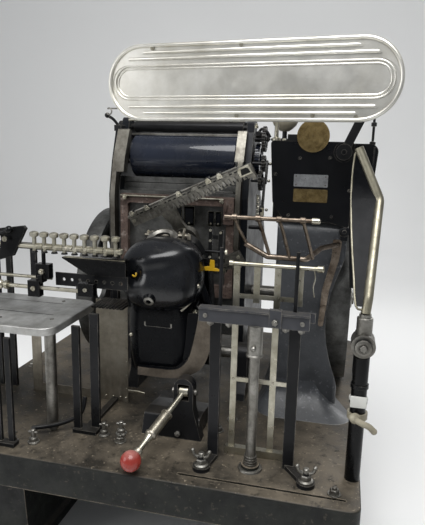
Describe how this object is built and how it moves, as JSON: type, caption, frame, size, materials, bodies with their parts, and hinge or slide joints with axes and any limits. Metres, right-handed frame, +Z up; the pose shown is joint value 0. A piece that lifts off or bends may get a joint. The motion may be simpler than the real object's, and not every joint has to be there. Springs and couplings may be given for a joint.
{
  "type": "platen press",
  "caption": "Letterpress platen press with a side flywheel, ink drum, rocking platen, rotating gripper arms, pile tables and a stadium-shaped guard.",
  "frame": {"origin": "bottom centre of the press, on the floor", "axes": "+X to the viewer's right when facing the delivery side, +Y to the back, +Z up"},
  "size_m": [1.3126, 1.296, 1.557],
  "materials": {
    "black_paint": "gloss black enamel",
    "blue_black": "satin blue-black enamel",
    "worn_base": "black enamel worn and dirty",
    "grey_cast": "machined grey iron",
    "dark_cast": "dark casting",
    "rusty_iron": "rusty brown iron",
    "bright_nickel": "worn nickel plate",
    "steel": "brushed steel",
    "polished_alu": "polished aluminium",
    "brass": "aged brass",
    "red_gloss": "glossy red knob"
  },
  "bodies": {
    "frame": {"air_rod": "bright_nickel", "badge_round": "brass", "base_bed": "worn_base", "bed_plate": "grey_cast", "chase_frame": "rusty_iron", "column_casting": "blue_black", "column_cover": "blue_black", "delivery_fence": "bright_nickel", "delivery_rake": "brass", "feeder_frame": "dark_cast", "feeder_panel": "steel", "ink_roller": "dark_cast", "ink_tray": "grey_cast", "lever_bracket": "dark_cast", "lever_post": "black_paint", "pivot_bracket_left": "dark_cast", "pivot_bracket_right": "dark_cast", "pivot_shaft": "steel", "plate_brass": "brass", "plate_silver": "polished_alu", "rail_left": "bright_nickel", "rail_right": "bright_nickel", "separator_tray": "black_paint", "side_frame_left": "blue_black", "side_frame_right": "blue_black", "standard_left": "dark_cast", "standard_right": "dark_cast", "sucker_bar": "bright_nickel", "wheel_cover": "blue_black"},
    "flywheel_body": {"flywheel": "grey_cast", "flywheel_left": "grey_cast", "flywheel_shaft": "steel"},
    "drum_body": {"ink_drum": "black_paint"},
    "rocker": {"platen": "dark_cast", "drive_housing": "black_paint"},
    "windmill": {"gripper_windmill": "dark_cast"},
    "guard": {"guard_plate": "polished_alu", "guard_arm": "dark_cast"},
    "throw_off_lever": {"impression_lever": "bright_nickel", "lever_ball": "red_gloss"},
    "hand_lever": {"control_lever": "bright_nickel", "lever_head": "steel"},
    "delivery_table": {"delivery_crossbar": "blue_black", "delivery_post": "steel"},
    "feed_board": {"feed_table": "steel", "feed_post": "steel"}
  },
  "joints": [
    {"name": "flywheel_spin", "type": "hinge", "parent": "frame", "child": "flywheel_body", "pos_m": [0.5, 0.222, 0.732], "axis": [1, 0, 0], "continuous": true},
    {"name": "drum_spin", "type": "hinge", "parent": "frame", "child": "drum_body", "pos_m": [0, 0.158, 1.24], "axis": [1, 0, 0], "continuous": true},
    {"name": "platen_rock", "type": "hinge", "parent": "frame", "child": "rocker", "pos_m": [0, -0.035, 0.565], "axis": [-1, 0, 0], "range_deg": [0, 20]},
    {"name": "windmill_spin", "type": "hinge", "parent": "rocker", "child": "windmill", "pos_m": [0.05, -0.18, 0.99], "axis": [0, 0.9397, 0.342], "continuous": true},
    {"name": "guard_swing", "type": "hinge", "parent": "frame", "child": "guard", "pos_m": [0.522, -0.112, 1.272], "axis": [0, 1, 0], "range_deg": [0, 50]},
    {"name": "throw_off", "type": "hinge", "parent": "frame", "child": "throw_off_lever", "pos_m": [0.113, -0.395, 0.568], "axis": [-1, 0, 0], "range_deg": [0, 40]},
    {"name": "hand_lever_swing", "type": "hinge", "parent": "frame", "child": "hand_lever", "pos_m": [0.604, -0.476, 0.799], "axis": [0, 1, 0], "range_deg": [0, 14]},
    {"name": "delivery_height", "type": "slide", "parent": "frame", "child": "delivery_table", "axis": [0, 0, 1], "range_m": [-0.26, 0]},
    {"name": "feed_height", "type": "slide", "parent": "frame", "child": "feed_board", "axis": [0, 0, 1], "range_m": [-0.24, 0]}
  ]
}
